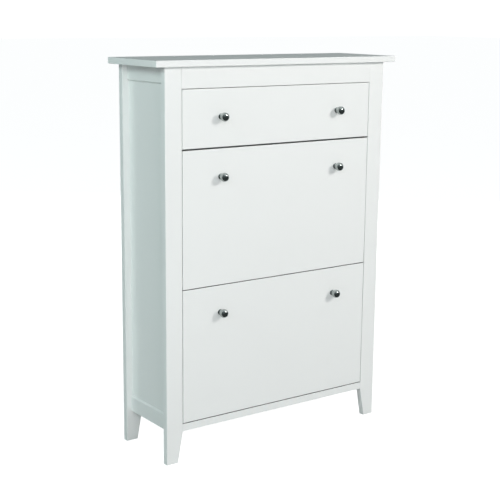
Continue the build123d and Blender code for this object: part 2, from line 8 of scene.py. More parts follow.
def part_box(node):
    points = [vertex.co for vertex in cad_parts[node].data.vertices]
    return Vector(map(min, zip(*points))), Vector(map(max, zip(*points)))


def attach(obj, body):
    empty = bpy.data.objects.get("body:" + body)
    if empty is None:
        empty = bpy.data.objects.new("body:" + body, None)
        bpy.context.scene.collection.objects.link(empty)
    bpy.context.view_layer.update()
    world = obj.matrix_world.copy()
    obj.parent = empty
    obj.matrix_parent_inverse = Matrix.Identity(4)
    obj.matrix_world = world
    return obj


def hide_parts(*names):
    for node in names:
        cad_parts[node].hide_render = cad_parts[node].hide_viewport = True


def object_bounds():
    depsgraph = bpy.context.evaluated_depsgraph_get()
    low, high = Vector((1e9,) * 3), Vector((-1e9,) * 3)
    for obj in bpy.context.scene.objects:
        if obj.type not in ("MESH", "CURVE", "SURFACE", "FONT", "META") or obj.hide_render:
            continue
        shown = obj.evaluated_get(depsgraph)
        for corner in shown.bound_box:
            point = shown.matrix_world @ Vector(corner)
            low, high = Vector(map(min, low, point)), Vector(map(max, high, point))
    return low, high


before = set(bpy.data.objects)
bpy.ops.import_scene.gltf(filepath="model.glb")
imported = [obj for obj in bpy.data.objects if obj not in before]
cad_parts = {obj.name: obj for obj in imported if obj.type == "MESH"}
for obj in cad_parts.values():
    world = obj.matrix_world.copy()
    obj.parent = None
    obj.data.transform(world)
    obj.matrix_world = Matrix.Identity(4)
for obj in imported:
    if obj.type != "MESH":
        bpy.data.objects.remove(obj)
cad_low, cad_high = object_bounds()

bl_info = {
    "name": "Shoe Cabinet Finish",
    "version": (1, 0, 0),
    "blender": (4, 5, 0),
    "location": "View3D > Sidebar > Cabinet",
    "description": "Paints, plates and stages a shoe cabinet with a drawer and two tilting flaps",
    "category": "Object",
}

SIDES = {"left": -1, "right": 1}
FLAPS = ("upper", "lower")


# ---------------------------------------------------------------- shader building

class Wire:
    """A node's output. Arithmetic on it adds Math nodes to the shading that it belongs to."""

    def __init__(self, shading, socket):
        self.shading = shading
        self.socket = socket

    def calc(self, operation, *values):
        return self.shading.node("ShaderNodeMath", {"operation": operation}, values)

    def __add__(self, other):
        return self.calc("ADD", self, other)

    def __radd__(self, other):
        return self.calc("ADD", other, self)

    def __sub__(self, other):
        return self.calc("SUBTRACT", self, other)

    def __rsub__(self, other):
        return self.calc("SUBTRACT", other, self)

    def __mul__(self, other):
        return self.calc("MULTIPLY", self, other)

    def __rmul__(self, other):
        return self.calc("MULTIPLY", other, self)

    def __gt__(self, other):
        return self.calc("GREATER_THAN", self, other)

    def __lt__(self, other):
        return self.calc("LESS_THAN", self, other)

    def __abs__(self):
        return self.calc("ABSOLUTE", self)


class Shading:
    """The nodes that shade a material or the room."""

    def __init__(self, tree):
        self.tree = tree

    def node(self, kind, settings=None, inputs=(), output=0):
        """Add a node: its settings first, then the values or wires of its sockets."""
        made = self.tree.nodes.new(kind)
        for setting, value in (settings or {}).items():
            setattr(made, setting, value)
        pairs = inputs.items() if isinstance(inputs, dict) else enumerate(inputs)
        for socket, value in pairs:
            self.join(value, made.inputs[socket])
        return Wire(self, made.outputs[output])

    def join(self, value, socket):
        """Feed a socket with a wire, or set it to a steady value."""
        if isinstance(value, Wire):
            self.tree.links.new(value.socket, socket)
        else:
            socket.default_value = value

    def blend(self, amount, first, second):
        """A colour between two colours."""
        return self.node("ShaderNodeMix", {"data_type": "RGBA"},
                         {"Factor": amount, 6: first, 7: second}, output=2)


class Finish(Shading):
    """A material for one kind of surface, with its shader's steady values set on the shader itself."""

    def __init__(self, name, **steady):
        self.material = bpy.data.materials.new(name)
        self.material.use_nodes = True
        super().__init__(self.material.node_tree)
        self.shader = self.tree.nodes["Principled BSDF"]
        for socket, value in steady.items():
            self.shader.inputs[socket.replace("_", " ").title().replace("Ior", "IOR")].default_value = value

    def set(self, socket, value):
        """Feed one of the shader's own sockets."""
        self.join(value, self.shader.inputs[socket])

    def place(self, scale=(1, 1, 1)):
        """Places on the piece in metres, in its own frame, stretched by a scale."""
        raw = self.node("ShaderNodeTexCoord", output="Object")
        return self.node("ShaderNodeVectorMath", {"operation": "MULTIPLY"}, (raw, scale))

    def noise(self, place, scale, detail=2.0, roughness=0.5, distortion=0.0):
        return self.node("ShaderNodeTexNoise", None, {"Vector": place, "Scale": scale, "Detail": detail,
                                                      "Roughness": roughness, "Distortion": distortion})

    def relief(self, *layers, soften=0.0005):
        """Bump from (height wire, distance in metres) layers, one over another, on softened edges."""
        normal = self.node("ShaderNodeBevel", {"samples": 4}, {"Radius": soften})
        for height, distance in layers:
            normal = self.node("ShaderNodeBump", None, {"Strength": 1.0, "Distance": distance,
                                                        "Height": height, "Normal": normal})
        self.set("Normal", normal)

    def crevice(self, reach, start=0.62, full=0.12):
        """A gap's depth: 0 where more than the start share of the sky is open, 1 under the full share."""
        open_share = self.node("ShaderNodeAmbientOcclusion", {"samples": 6}, {"Distance": reach}, output="AO")
        return self.node("ShaderNodeMapRange", None, {"Value": open_share, "From Min": start,
                                                      "From Max": full, "To Min": 0.0, "To Max": 1.0})

    def lying(self):
        """1 on a face that lies flat, 0 on an upright one, in the piece's own frame."""
        own = self.node("ShaderNodeTexCoord", output="Normal")
        return abs(self.node("ShaderNodeSeparateXYZ", None, (own,), output="Z"))

    def edge(self, width):
        """1 near an outer edge or a crease, 0 on the flat."""
        soft = self.node("ShaderNodeBevel", {"samples": 4}, {"Radius": width})
        flat = self.node("ShaderNodeNewGeometry", output="Normal")
        match = self.node("ShaderNodeVectorMath", {"operation": "DOT_PRODUCT"}, (soft, flat), output="Value")
        return self.node("ShaderNodeMapRange", None, {"Value": match, "From Min": 0.995, "From Max": 0.9,
                                                      "To Min": 0.0, "To Max": 1.0})


def rgba(colour, factor=1.0):
    """A colour with its opacity, made lighter or darker by a factor."""
    return tuple(min(channel * factor, 1.0) for channel in colour[:3]) + (1.0,)


# ---------------------------------------------------------------- finishes

# Colour of the painted shade in the gaps of the satin paint.
GAP_SHADE_COLOUR = (0.03, 0.036, 0.04, 1.0)
# Colour of the painted shade in the corners of the melamine boards.
BOARD_CORNER_SHADE = (0.12, 0.13, 0.13, 1.0)
BARE_STEEL = (0.36, 0.36, 0.35, 1.0)
TRAY_GREY = (0.74, 0.76, 0.75)


def satin_paint(name, colour, roughness, texture, gap_shade_strength, shares):
    """Rolled satin paint: a fine orange peel, faint roller bands, a thinner film on edges, and painted shade
    darkening its gaps.
    """
    paint = Finish(name, specular_ior_level=0.45, ior=1.48)
    peel = paint.noise(paint.place(), 620.0, 2.0)
    bands = paint.noise(paint.place((1.0, 1.0, 0.16)), 46.0, 3.0, 0.55)
    drift = paint.noise(paint.place(), 2.6, 3.0)
    edge = paint.edge(0.0016)
    tone = paint.blend(drift, rgba(colour, 0.975), rgba(colour, 1.012))
    tone = paint.blend(bands * 0.35, tone, rgba(colour, 0.985))
    tone = paint.blend(edge * 0.5, tone, rgba(colour, 0.93))
    # Painted shade in gaps: darker where ambient occlusion finds a narrow gap, most on faces that lie flat,
    # where less light reaches.
    gap_shade = paint.crevice(0.009, *shares) * (paint.lying() * 0.88 + 0.1) * gap_shade_strength
    paint.set("Base Color", paint.blend(gap_shade, tone, GAP_SHADE_COLOUR))
    paint.set("Roughness", roughness + (bands - 0.5) * 0.10 + (peel - 0.5) * 0.06 + edge * 0.10)
    paint.relief((bands, texture * 3.0), (peel, texture))
    return paint.material


def melamine(name, colour):
    """White melamine board: a pearled press texture, a slightly duller sheen and painted shade in its
    corners.
    """
    board = Finish(name, specular_ior_level=0.4)
    grain = board.node("ShaderNodeTexVoronoi", {"feature": "SMOOTH_F1"},
                       {"Vector": board.place(), "Scale": 780.0, "Smoothness": 0.6})
    drift = board.noise(board.place(), 5.0, 3.0)
    scuff = board.noise(board.place((1.0, 0.25, 0.25)), 70.0, 4.0, 0.7)
    edge = board.edge(0.0012)
    tone = board.blend(drift, rgba(colour, 0.97), rgba(colour, 1.01))
    tone = board.blend(edge * 0.6, tone, rgba(colour, 0.9))
    # Painted shade: darker where ambient occlusion finds a corner or a gap.
    board.set("Base Color", board.blend(board.crevice(0.005) * 0.6, tone, BOARD_CORNER_SHADE))
    board.set("Roughness", 0.44 + (scuff - 0.5) * 0.16 + edge * 0.1)
    board.relief((grain, 0.00002))
    return board.material


def hardboard(name, brown, inner):
    """Hardboard: brown with a screen print on the back, white foil on the inside."""
    board = Finish(name, specular_ior_level=0.3)
    place = board.place()
    fibre = board.noise(place, 240.0, 6.0, 0.7, 0.8)
    flakes = board.noise(board.place((1.0, 1.0, 2.6)), 900.0, 3.0, 0.6)
    cloud = board.noise(place, 9.0, 6.0, 0.75)
    weave_x = board.node("ShaderNodeTexWave", {"wave_type": "BANDS", "bands_direction": "X"},
                         {"Vector": place, "Scale": 150.0, "Distortion": 0.6, "Detail": 1.0})
    weave_z = board.node("ShaderNodeTexWave", {"wave_type": "BANDS", "bands_direction": "Z"},
                         {"Vector": place, "Scale": 150.0, "Distortion": 0.6, "Detail": 1.0})
    screen = weave_x * weave_z
    facing = board.node("ShaderNodeSeparateXYZ", None,
                        (board.node("ShaderNodeTexCoord", output="Normal"),), output=1)
    rear = facing > -0.5
    tone = board.blend(fibre, rgba(brown, 0.72), rgba(brown, 1.35))
    tone = board.blend(cloud, tone, rgba(brown, 0.7))
    tone = board.blend(flakes * 0.3, tone, rgba(brown, 1.5))
    tone = board.blend(screen * 0.25, tone, rgba(brown, 0.6))
    board.set("Base Color", board.blend(rear, rgba(inner), tone))
    board.set("Roughness", rear * 0.38 + 0.42 + fibre * 0.1)
    board.relief((screen * rear, 0.00022), (fibre * rear, 0.00012))
    return board.material


def beech(name, colour):
    """Raw beech with its grain from front to back and short dark flecks."""
    wood = Finish(name, specular_ior_level=0.3)
    along = wood.place((1.0, 0.06, 1.0))
    rings = wood.node("ShaderNodeTexWave", {"wave_type": "RINGS", "rings_direction": "Y"},
                      {"Vector": wood.place((1.0, 0.12, 1.0)), "Scale": 48.0, "Distortion": 3.5,
                       "Detail": 3.0, "Detail Scale": 1.4})
    pores = wood.noise(along, 900.0, 3.0, 0.6)
    fleck = wood.noise(along, 340.0, 2.0) > 0.63
    tone = wood.blend(rings * 0.6, rgba(colour, 1.1), rgba(colour, 0.74))
    tone = wood.blend(pores * 0.4, tone, rgba(colour, 0.85))
    wood.set("Base Color", wood.blend(fleck * 0.45, tone, rgba(colour, 0.5)))
    wood.set("Roughness", 0.55 + pores * 0.18)
    wood.relief((pores, 0.00006), (rings, 0.00004))
    return wood.material


def plating(name, colour, roughness, smear):
    """Plated metal with polishing marks, and finger smears in its gloss and a little in its tint."""
    metal = Finish(name, metallic=1.0)
    marks = metal.noise(metal.place((1.0, 1.0, 9.0)), 420.0, 3.0, 0.6)
    smears = metal.noise(metal.place(), 130.0, 4.0, 0.6, 0.5)
    metal.set("Roughness", roughness + (marks - 0.5) * smear * 0.6 + (smears - 0.45) * smear)
    metal.set("Base Color", metal.blend(smears, rgba(colour, 0.96), rgba(colour, 1.02)))
    metal.relief((marks, 0.000002))
    return metal.material


def zinc_plate(name, colour):
    """Bright zinc: a mottled spangle and a slightly yellow bloom."""
    metal = Finish(name, metallic=1.0)
    spangle = metal.node("ShaderNodeTexVoronoi", {"feature": "F1"},
                         {"Vector": metal.place(), "Scale": 900.0}, output="Distance")
    bloom = metal.noise(metal.place(), 160.0, 3.0)
    yellowed = (colour[0], colour[1] * 0.96, colour[2] * 0.82, 1.0)
    metal.set("Base Color", metal.blend(bloom, rgba(colour), yellowed))
    metal.set("Roughness", 0.26 + spangle * 0.2 + bloom * 0.1)
    metal.relief((spangle, 0.00001))
    return metal.material


def epoxy_coat(name, colour):
    """Epoxy powder coat on sheet steel: a coarse orange peel, with bare metal rubbed through on the edges."""
    coat = Finish(name, specular_ior_level=0.5)
    peel = coat.noise(coat.place(), 800.0, 2.0)
    rub = coat.noise(coat.place((1.0, 0.1, 1.0)), 300.0, 4.0, 0.7)
    edge = coat.edge(0.0006) * (rub > 0.55)
    tone = coat.blend(peel, rgba(colour, 0.97), rgba(colour))
    coat.set("Base Color", coat.blend(edge * 0.6, tone, BARE_STEEL))
    coat.set("Metallic", edge * 0.6)
    coat.set("Roughness", 0.30 + peel * 0.12 + rub * 0.08)
    coat.relief((peel, 0.00003))
    return coat.material


def moulded(name, colour, roughness, grain_scale, grain_depth, translucency=0.0):
    """Moulded plastic: a fine spark-eroded grain, flow clouding and scuffed high spots."""
    plastic = Finish(name, specular_ior_level=0.45, subsurface_weight=translucency)
    plastic.shader.inputs["Subsurface Radius"].default_value = (0.004, 0.004, 0.003)
    grain = plastic.node("ShaderNodeTexVoronoi", {"feature": "SMOOTH_F1"},
                         {"Vector": plastic.place(), "Scale": grain_scale, "Smoothness": 0.5})
    cloud = plastic.noise(plastic.place(), 14.0, 4.0, 0.6)
    scuff = plastic.noise(plastic.place((0.3, 1.0, 1.0)), 180.0, 4.0, 0.7)
    edge = plastic.edge(0.001)
    tone = plastic.blend(cloud, rgba(colour, 0.96), rgba(colour, 1.02))
    plastic.set("Base Color", plastic.blend(edge * 0.4, tone, rgba(colour, 0.9)))
    plastic.set("Roughness", roughness + (scuff - 0.5) * 0.18 - edge * 0.06)
    plastic.relief((grain, grain_depth))
    return plastic.material


# ---------------------------------------------------------------- mesh building

def new_piece(name, mesh, body, material, smooth=True):
    """Turn a bmesh into a piece that rides on a body and takes a finish."""
    bmesh.ops.recalc_face_normals(mesh, faces=mesh.faces)
    data = bpy.data.meshes.new(name)
    mesh.to_mesh(data)
    mesh.free()
    data.materials.append(material)
    for face in data.polygons:
        face.use_smooth = smooth
    piece = bpy.data.objects.new(name, data)
    bpy.context.collection.objects.link(piece)
    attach(piece, body)
    return piece


def lathe(mesh, profile, centre, axis, segments=48):
    """Turn a profile of (radius, height) points about an axis through a centre."""
    turn = Vector((0, 0, 1)).rotation_difference(Vector(axis)).to_matrix()
    rings = []
    for radius, height in profile:
        if radius < 1e-7:
            rings.append([mesh.verts.new(Vector(centre) + turn @ Vector((0, 0, height)))])
            continue
        ring = []
        for step in range(segments):
            angle = 2 * pi * step / segments
            point = Vector((radius * cos(angle), radius * sin(angle), height))
            ring.append(mesh.verts.new(Vector(centre) + turn @ point))
        rings.append(ring)
    for low, high in zip(rings, rings[1:]):
        for step in range(segments):
            after = (step + 1) % segments
            if len(low) == 1:
                mesh.faces.new((low[0], high[step], high[after]))
            elif len(high) == 1:
                mesh.faces.new((low[step], low[after], high[0]))
            else:
                mesh.faces.new((low[step], low[after], high[after], high[step]))


def cross_head(mesh, centre, outward, radius, rise):
    """A low domed head with a cross recess, standing on a flat face at a centre."""
    arm, slot = 0.58 * radius, 0.13 * radius
    overlap = 0.0001
    circle = arc(2 * pi, 32)[:-1]
    rings = [[mesh.verts.new((share * radius * x, share * radius * y, height)) for x, y in circle]
             for share, height in ((1.0, -overlap), (1.0, rise * 0.45), (0.94, rise * 0.8), (0.84, rise))]
    outline = []
    for quarter in range(4):
        turn = Matrix.Rotation(quarter * pi / 2, 3, "Z")
        outline += [turn @ Vector(point) for point in ((slot, slot, 0), (slot, arm, 0), (-slot, arm, 0))]
    brim = [mesh.verts.new((point.x, point.y, rise)) for point in outline]
    pit = [mesh.verts.new((point.x * 0.8, point.y * 0.8, rise * 0.1)) for point in outline]
    mesh.faces.new(reversed(rings[0]))
    mesh.faces.new(pit)
    for low, high in (*zip(rings, rings[1:]), (pit, brim)):
        for step, corner in enumerate(low):
            after = (step + 1) % len(low)
            mesh.faces.new((corner, low[after], high[after], high[step]))
    rims = [mesh.edges.get((loop[step], loop[(step + 1) % len(loop)]))
            for loop in (rings[-1], brim) for step in range(len(loop))]
    bmesh.ops.triangle_fill(mesh, use_beauty=True, edges=rims)
    made = [corner for ring in (*rings, brim, pit) for corner in ring]
    turn = Vector((0, 0, 1)).rotation_difference(Vector(outward)).to_matrix().to_4x4()
    bmesh.ops.transform(mesh, matrix=Matrix.Translation(centre) @ turn, verts=made)


def arc(sweep, steps):
    """Points along a sweep of a circle of radius 1, which starts at its right side."""
    return [(cos(sweep * step / steps), sin(sweep * step / steps)) for step in range(steps + 1)]


def bar(mesh, section, centre, up, half_length, taper=0.003):
    """A bar along X with a section of (across, up) points, tapered to a small blunt tip at both ends."""
    up = Vector(up)
    across = Vector((1, 0, 0)).cross(up)
    rings = []
    for side in (-1, 1):
        for inset, share in ((0.0, 0.25), (taper * 0.4, 0.75), (taper, 1.0))[::-side]:
            place = Vector(centre) + Vector((side * (half_length - inset), 0, 0))
            rings.append([mesh.verts.new(place + (across * x + up * y) * share) for x, y in section])
    for low, high in zip(rings, rings[1:]):
        for step, corner in enumerate(low):
            after = (step + 1) % len(low)
            mesh.faces.new((corner, low[after], high[after], high[step]))
    mesh.faces.new(rings[0])
    mesh.faces.new(reversed(rings[-1]))


def solids(node):
    """The corner points of each separate solid in a CAD node."""
    copy = bmesh.new()
    copy.from_mesh(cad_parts[node].data)
    bmesh.ops.remove_doubles(copy, verts=copy.verts, dist=1e-6)
    waiting = set(copy.verts)
    groups = []
    while waiting:
        to_visit = [waiting.pop()]
        group = []
        while to_visit:
            corner = to_visit.pop()
            group.append(corner.co.copy())
            for edge in corner.link_edges:
                other = edge.other_vert(corner)
                if other in waiting:
                    waiting.remove(other)
                    to_visit.append(other)
        groups.append(group)
    copy.free()
    return groups


def limits(points):
    """The lowest and highest corners of some points."""
    return (Vector([min(point[axis] for point in points) for axis in range(3)]),
            Vector([max(point[axis] for point in points) for axis in range(3)]))


def screw_heads(node):
    """The head of each screw in a CAD node: its centre, the way it faces and its radius."""
    heads = []
    same_face = 1e-5
    for points in solids(node):
        low, high = limits(points)
        axis = max(range(3), key=lambda side: high[side] - low[side])
        ends = []
        for sign, end in ((-1, low[axis]), (1, high[axis])):
            face_low, face_high = limits([point for point in points if abs(point[axis] - end) < same_face])
            ends.append(((face_high - face_low).length, sign, end))
        width, sign, end = max(ends)
        centre = (low + high) / 2
        centre[axis] = end
        outward = Vector((0, 0, 0))
        outward[axis] = sign
        heads.append((centre, outward, width / (2 * sqrt(2))))
    return heads


def cam_faces(radius):
    """The open face of each cam lock of a radius: its centre and the way it faces."""
    faces = []
    for points in solids("cam_fittings"):
        low, high = limits(points)
        centre = (low + high) / 2
        if high.x - low.x > high.z - low.z:
            inner = min(abs(low.x), abs(high.x)) + radius
            faces.append((Vector((inner if centre.x > 0 else -inner, centre.y, low.z)), (0, 0, -1)))
        else:
            front = centre.y < 0
            face = high.y if front else low.y
            faces.append((Vector((centre.x, face, low.z + radius)), (0, 1 if front else -1, 0)))
    return faces


def curve_points(points, steps=6):
    """A smooth run of (radius, height) points through the given ones."""
    padded = [Vector(point) for point in (points[0], *points, points[-1])]
    run = []
    for before, start, end, after in zip(padded, padded[1:], padded[2:], padded[3:]):
        for step in range(steps):
            share = step / steps
            turn = 2 * before - 5 * start + 4 * end - after
            twist = 3 * start - before - 3 * end + after
            run.append(start + ((end - before) * share + turn * share ** 2 + twist * share ** 3) / 2)
    run.append(padded[-1])
    return run


# ---------------------------------------------------------------- settings

class CabinetPaintSettings(bpy.types.PropertyGroup):
    paint: bpy.props.FloatVectorProperty(
        name="Paint", description="Colour of the satin paint", subtype="COLOR", size=3,
        default=(0.84, 0.875, 0.862), min=0.0, max=1.0)
    gloss: bpy.props.FloatProperty(
        name="Paint roughness", description="Roughness of the satin paint", default=0.34, min=0.0, max=1.0)
    texture: bpy.props.FloatProperty(
        name="Orange peel", description="Depth of the orange peel in the paint", default=0.000012,
        min=0.0, max=0.001, precision=6, unit="LENGTH")
    board: bpy.props.FloatVectorProperty(
        name="Board", description="Colour of the melamine boards inside", subtype="COLOR", size=3,
        default=(0.80, 0.815, 0.80), min=0.0, max=1.0)
    brown: bpy.props.FloatVectorProperty(
        name="Hardboard", description="Colour of the back panel's outer face", subtype="COLOR", size=3,
        default=(0.36, 0.235, 0.14), min=0.0, max=1.0)


class CabinetKnobSettings(bpy.types.PropertyGroup):
    chrome: bpy.props.FloatVectorProperty(
        name="Chrome", description="Tint of the plated knobs", subtype="COLOR", size=3,
        default=(0.42, 0.455, 0.445), min=0.0, max=1.0)
    polish: bpy.props.FloatProperty(
        name="Knob roughness", description="Roughness of the polished knobs", default=0.12, min=0.0, max=1.0)


class CabinetDetailSettings(bpy.types.PropertyGroup):
    head_rise: bpy.props.FloatProperty(
        name="Head rise", description="How far a screw's head stands up", default=0.0006, precision=5,
        unit="LENGTH")
    cam_radius: bpy.props.FloatProperty(
        name="Cam radius", description="Radius of a cam lock", default=0.0075, precision=5, unit="LENGTH")
    cam_rise: bpy.props.FloatProperty(
        name="Cam rise", description="How far a cam lock's face stands up", default=0.0005, precision=5,
        unit="LENGTH")
    tray_slope: bpy.props.FloatProperty(
        name="Tray slope", description="How far a tray falls to the back, flap closed",
        default=radians(52.0), subtype="ANGLE")
    tray_length: bpy.props.FloatProperty(
        name="Tray length", description="From a tray's top edge to its heel", default=0.2, unit="LENGTH")
    tray_lip: bpy.props.FloatProperty(
        name="Tray lip", description="Height of the lip at a tray's heel", default=0.062, unit="LENGTH")
    tray_sheet: bpy.props.FloatProperty(
        name="Tray sheet", description="Thickness of a tray", default=0.004, unit="LENGTH")
    tray_end: bpy.props.FloatProperty(
        name="Tray end", description="How much of a tray is let into each cheek", default=0.0055,
        precision=4, unit="LENGTH")
    rib_count: bpy.props.IntProperty(name="Ribs", description="Grip ribs on each tray", default=7, min=0)
    rib_radius: bpy.props.FloatProperty(
        name="Rib radius", description="Half the width of a grip rib", default=0.0014, precision=4,
        unit="LENGTH")
    rib_height: bpy.props.FloatProperty(
        name="Rib height", description="Height of a grip rib as a share of its radius", default=0.8)
    rib_root: bpy.props.FloatProperty(
        name="Rib root", description="How far a grip rib is let into its tray", default=0.0003, precision=5,
        unit="LENGTH")
    rim_radius: bpy.props.FloatProperty(
        name="Rim radius", description="Radius of a tray's rolled edges", default=0.0026, precision=4,
        unit="LENGTH")


class CabinetStageSettings(bpy.types.PropertyGroup):
    lens: bpy.props.FloatProperty(
        name="Lens", description="Focal length of the camera", default=81.23, min=10.0, max=300.0,
        unit="CAMERA")
    azimuth: bpy.props.FloatProperty(
        name="Azimuth", description="How far the camera stands to the left of the front",
        default=radians(35.649), subtype="ANGLE")
    elevation: bpy.props.FloatProperty(
        name="Elevation", description="How far the camera looks down", default=radians(11.962),
        subtype="ANGLE")
    roll: bpy.props.FloatProperty(
        name="Roll", description="How far the camera is tipped about its view", default=radians(0.533),
        subtype="ANGLE")
    distance: bpy.props.FloatProperty(
        name="Distance", description="From the camera to the point it looks at", default=3.432, unit="LENGTH")
    aim: bpy.props.FloatVectorProperty(
        name="Aim", description="The point that the camera looks at", size=3, subtype="TRANSLATION",
        default=(-0.015, 0.0155, 0.567))
    key: bpy.props.FloatProperty(
        name="Key light", description="Power of the light at the right of the front", default=49.0,
        subtype="POWER")
    fill: bpy.props.FloatProperty(
        name="Fill light", description="Power of the wide soft light at the left of the front", default=92.0,
        subtype="POWER")
    side: bpy.props.FloatProperty(
        name="Side light", description="Power of the light beside the cabinet", default=48.0, subtype="POWER")
    back: bpy.props.FloatProperty(
        name="Back light", description="Power of the light behind the cabinet", default=110.0,
        subtype="POWER")
    cards: bpy.props.FloatProperty(
        name="Cards", description="Power of the white cards that only shiny surfaces see", default=6.0,
        subtype="POWER")
    room_high: bpy.props.FloatVectorProperty(
        name="Room", description="Light from the room's walls and ceiling", size=3, subtype="COLOR",
        default=(0.182, 0.209, 0.218), min=0.0, max=4.0)
    room_low: bpy.props.FloatVectorProperty(
        name="Room floor", description="Light from below the horizon", size=3, subtype="COLOR",
        default=(0.06, 0.068, 0.068), min=0.0, max=4.0)
    floor_size: bpy.props.FloatProperty(
        name="Floor", description="Width and depth of the floor", default=90.0, unit="LENGTH")
    floor_lift: bpy.props.FloatProperty(
        name="Floor lift", description="White added to the floor", default=0.89)


# ---------------------------------------------------------------- operators

# The parts under the gaps get painted shade from shallower gaps, and the drawer front and lower side rails
# only a faint painted shade.
UNDER_GAPS = ["front_bottom_rail", *[f"upper_side_rail_{side}" for side in SIDES],
              *[f"{flap}_flap_panel" for flap in FLAPS]]
WEAK_GAP_SHADE = ["drawer_front", *[f"lower_side_rail_{side}" for side in SIDES]]
PAINTED = ["top_panel", "front_top_rail",
           *[f"{end}_post_{side}" for end in ("front", "rear") for side in SIDES],
           *[f"side_panel_{side}" for side in SIDES], "rear_top_rail"]
BOARDS = ["bottom_panel", "middle_divider", "drawer_divider", "drawer_back", "drawer_bottom",
          *[f"drawer_side_{side}" for side in SIDES],
          *[f"{flap}_flap_cheek_{side}" for flap in FLAPS for side in SIDES]]


def coat(nodes, material):
    """Give CAD nodes a finish in place of their plain one."""
    for name in nodes:
        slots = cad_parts[name].data.materials
        slots.clear()
        slots.append(material)


class CABINET_OT_paint(bpy.types.Operator):
    """Paint the posts, rails, side panels, fronts and top"""
    bl_idname = "cabinet.paint"
    bl_label = "Paint the Cabinet"

    def execute(self, context):
        tone = context.scene.cabinet_paint
        # The shares set how deep a gap must be before its painted shade starts and where it is full.
        deep_only, shallow_too = (0.62, 0.12), (0.95, 0.4)
        for name, nodes, gap_shade_strength, shares in (("white satin paint", PAINTED, 1.0, deep_only),
                                          ("satin paint under gaps", UNDER_GAPS, 1.0, shallow_too),
                                          ("satin paint with weak gap shade", WEAK_GAP_SHADE, 0.2, deep_only)):
            coat(nodes, satin_paint(name, tone.paint, tone.gloss, tone.texture, gap_shade_strength, shares))
        return {"FINISHED"}


class CABINET_OT_boards(bpy.types.Operator):
    """Face the boards inside with melamine, and the back with hardboard"""
    bl_idname = "cabinet.boards"
    bl_label = "Face the Boards"

    def execute(self, context):
        tone = context.scene.cabinet_paint
        coat(BOARDS, melamine("white melamine", tone.board))
        coat(["back_panel"], hardboard("hardboard", tone.brown, tone.board))
        coat(["carcase_dowels", *[f"runner_cleat_{side}" for side in SIDES]],
             beech("raw beech", (0.62, 0.45, 0.28)))
        return {"FINISHED"}


class CABINET_OT_runners(bpy.types.Operator):
    """Coat the drawer runners, and finish the rollers, bushes, guides and trays"""
    bl_idname = "cabinet.runners"
    bl_label = "Finish the Runners and Trays"

    def execute(self, context):
        coat([f"{part}_runner_{side}" for part in ("cabinet", "drawer") for side in SIDES],
             epoxy_coat("white epoxy coat", (0.78, 0.79, 0.77)))
        nylon = moulded("natural nylon", (0.78, 0.77, 0.72), 0.36, 500.0, 0.00001, 0.15)
        coat([f"{end}_roller_{side}" for end in ("front", "rear") for side in SIDES], nylon)
        coat(["stop_guides", *[f"{flap}_flap_bushes" for flap in FLAPS]], nylon)
        coat([f"{flap}_flap_{level}_tray" for flap in FLAPS for level in ("lower", "upper")],
             moulded("tray plastic", TRAY_GREY, 0.46, 650.0, 0.00004, 0.05))
        coat(["flap_bumpers"], moulded("pale rubber", (0.50, 0.50, 0.48), 0.62, 800.0, 0.00003))
        return {"FINISHED"}


class CABINET_OT_fixings(bpy.types.Operator):
    """Plate the screws, cams, pins and nails"""
    bl_idname = "cabinet.fixings"
    bl_label = "Plate the Fixings"

    def execute(self, context):
        coat(["cam_fittings", "carcase_screws", "drawer_screws", "back_nails", "pivot_pins",
              *[f"{flap}_flap_{part}" for part in ("screws", "stop_pegs") for flap in FLAPS]],
             zinc_plate("bright zinc", (0.62, 0.62, 0.60)))
        return {"FINISHED"}


class CABINET_OT_heads(bpy.types.Operator):
    """Give the screws and the cam locks their domed heads with cross recesses"""
    bl_idname = "cabinet.heads"
    bl_label = "Head the Screws and Cams"

    def execute(self, context):
        shape = context.scene.cabinet_details
        zinc = zinc_plate("bright zinc heads", (0.66, 0.66, 0.64))
        for node, body in (("carcase_screws", "carcase"), ("drawer_screws", "drawer"),
                           ("upper_flap_screws", "upper_flap"), ("lower_flap_screws", "lower_flap")):
            mesh = bmesh.new()
            for centre, outward, radius in screw_heads(node):
                cross_head(mesh, centre, outward, radius, shape.head_rise)
            new_piece(f"{node[:-1]}_heads", mesh, body, zinc, smooth=False)
        mesh = bmesh.new()
        for centre, outward in cam_faces(shape.cam_radius):
            cross_head(mesh, centre, outward, shape.cam_radius, shape.cam_rise)
        new_piece("cam_lock_faces", mesh, "carcase", zinc, smooth=False)
        return {"FINISHED"}


class CABINET_OT_ribs(bpy.types.Operator):
    """Mould grip ribs into the trays and roll their free edges"""
    bl_idname = "cabinet.ribs"
    bl_label = "Rib the Trays"

    def execute(self, context):
        shape = context.scene.cabinet_details
        plastic = moulded("tray rib plastic", TRAY_GREY, 0.42, 650.0, 0.00004, 0.05)
        along = Vector((0, cos(shape.tray_slope), -sin(shape.tray_slope)))
        up = Vector((0, sin(shape.tray_slope), cos(shape.tray_slope)))
        rib = [(shape.rib_radius * across, shape.rib_radius * shape.rib_height * rise)
               for across, rise in arc(pi, 8)]
        rib += [(-shape.rib_radius, -shape.rib_root), (shape.rib_radius, -shape.rib_root)]
        rim = [(shape.rim_radius * across, shape.rim_radius * rise) for across, rise in arc(2 * pi, 16)[:-1]]
        for flap in FLAPS:
            for level in ("lower", "upper"):
                low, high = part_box(f"{flap}_flap_{level}_tray")
                half_length = (high.x - low.x) / 2 - shape.tray_end
                top = Vector((0, low.y + shape.tray_sheet * up.y, high.z))
                heel = top + along * shape.tray_length
                mesh = bmesh.new()
                for step in range(shape.rib_count):
                    share = (step + 1) / (shape.rib_count + 1)
                    bar(mesh, rib, top.lerp(heel, share), up, half_length)
                bar(mesh, rim, top - up * shape.tray_sheet / 2, up, half_length)
                lip = heel + up * shape.tray_lip + along * shape.tray_sheet / 2
                bar(mesh, rim, lip, up, half_length)
                new_piece(f"{flap}_flap_{level}_tray_ribs", mesh, f"{flap}_flap", plastic)
        return {"FINISHED"}


